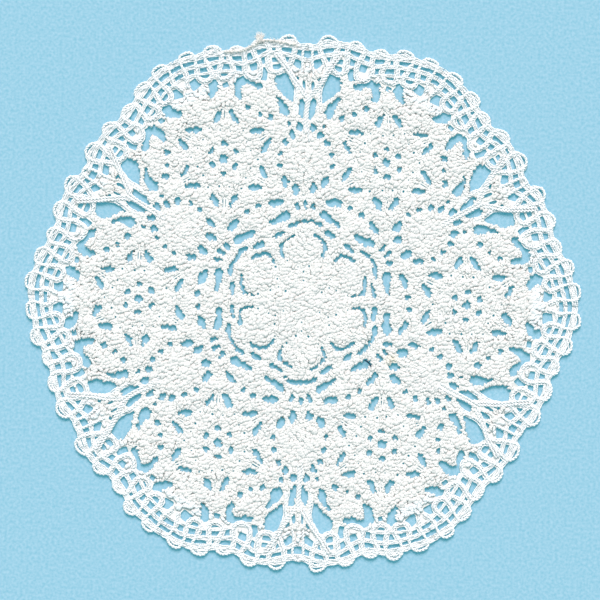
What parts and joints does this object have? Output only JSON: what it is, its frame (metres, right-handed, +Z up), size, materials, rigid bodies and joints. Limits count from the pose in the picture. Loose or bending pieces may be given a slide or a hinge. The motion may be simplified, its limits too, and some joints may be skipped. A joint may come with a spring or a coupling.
{
  "type": "lace doily",
  "caption": "Round scalloped lace doily in white cotton, one flat openwork sheet with a central flower ringed by rosettes, laid flat to protect or dress a table top.",
  "frame": {"origin": "centre of the underside: the middle of the sheet's bounding box, on the surface that the doily lies on", "axes": "+Z up out of the table, +X through one rosette, +Y ninety degrees on from it"},
  "size_m": [0.1526, 0.1466, 0.0014],
  "materials": {
    "lace_doily": "matt white cotton thread"
  },
  "bodies": {
    "root": {"lace_doily": "lace_doily"}
  },
  "joints": []
}
